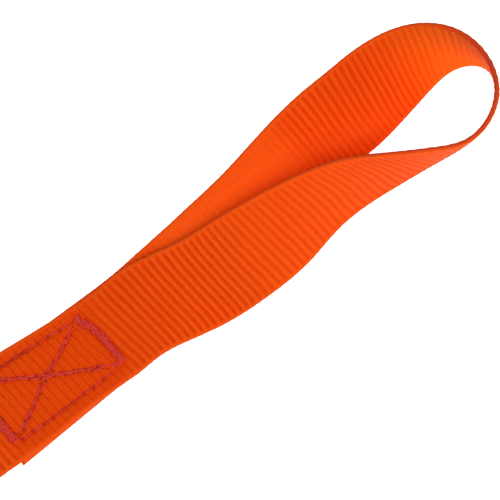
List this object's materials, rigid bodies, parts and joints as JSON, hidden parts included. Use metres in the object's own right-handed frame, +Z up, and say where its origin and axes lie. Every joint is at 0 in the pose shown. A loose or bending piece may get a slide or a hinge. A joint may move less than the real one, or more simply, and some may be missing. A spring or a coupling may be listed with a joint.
{
  "type": "webbing sling",
  "caption": "Flat woven webbing sling with a folded eye at each end, closed by a box and cross sewn splice with dense bar tacks, for lifting and lashing.",
  "frame": {"origin": "Middle of the strap in length and width, at the level that it lies on.", "axes": "+X along the strap from one eye to the other, +Y across its width, +Z up, away from the surface it lies on."},
  "size_m": [0.4574, 0.0458, 0.0255],
  "materials": {
    "orange_webbing": "ribbed woven polyester webbing with a soft sheen along the ribs",
    "crimson_needle_thread": "thick twisted sewing thread, satin",
    "crimson_bobbin_thread": "thick twisted sewing thread, satin"
  },
  "bodies": {
    "leg": {"leg_webbing": "orange_webbing"},
    "splice_a": {"upper_ply_a": "orange_webbing", "tail_ply_a": "orange_webbing", "needle_lower_side_seam_a": "crimson_needle_thread", "needle_upper_side_seam_a": "crimson_needle_thread", "needle_cross_seam_a": "crimson_needle_thread", "needle_inner_bar_tack_a": "crimson_needle_thread", "needle_outer_bar_tack_a": "crimson_needle_thread", "bobbin_lower_side_seam_a": "crimson_bobbin_thread", "bobbin_upper_side_seam_a": "crimson_bobbin_thread", "bobbin_cross_seam_a": "crimson_bobbin_thread", "bobbin_inner_bar_tack_a": "crimson_bobbin_thread", "bobbin_outer_bar_tack_a": "crimson_bobbin_thread"},
    "eye_a": {"eye_upper_leg_a": "orange_webbing", "eye_nose_a": "orange_webbing", "eye_lower_leg_a": "orange_webbing"},
    "splice_b": {"upper_ply_b": "orange_webbing", "tail_ply_b": "orange_webbing", "needle_lower_side_seam_b": "crimson_needle_thread", "needle_upper_side_seam_b": "crimson_needle_thread", "needle_cross_seam_b": "crimson_needle_thread", "needle_inner_bar_tack_b": "crimson_needle_thread", "needle_outer_bar_tack_b": "crimson_needle_thread", "bobbin_lower_side_seam_b": "crimson_bobbin_thread", "bobbin_upper_side_seam_b": "crimson_bobbin_thread", "bobbin_cross_seam_b": "crimson_bobbin_thread", "bobbin_inner_bar_tack_b": "crimson_bobbin_thread", "bobbin_outer_bar_tack_b": "crimson_bobbin_thread"},
    "eye_b": {"eye_upper_leg_b": "orange_webbing", "eye_nose_b": "orange_webbing", "eye_lower_leg_b": "orange_webbing"}
  },
  "joints": [
    {"name": "sewn_part_fold_a", "type": "hinge", "parent": "leg", "child": "splice_a", "pos_m": [0.0542, 0, 0.0013], "axis": [0, -1, 0], "range_deg": [0, 50]},
    {"name": "eye_fold_a", "type": "hinge", "parent": "splice_a", "child": "eye_a", "pos_m": [0.1082, 0, 0.0033], "axis": [0, -1, 0], "range_deg": [0, 50]},
    {"name": "sewn_part_fold_b", "type": "hinge", "parent": "leg", "child": "splice_b", "pos_m": [-0.0542, 0, 0.0013], "axis": [0, 1, 0], "range_deg": [0, 50]},
    {"name": "eye_fold_b", "type": "hinge", "parent": "splice_b", "child": "eye_b", "pos_m": [-0.1082, 0, 0.0033], "axis": [0, 1, 0], "range_deg": [0, 50]}
  ]
}
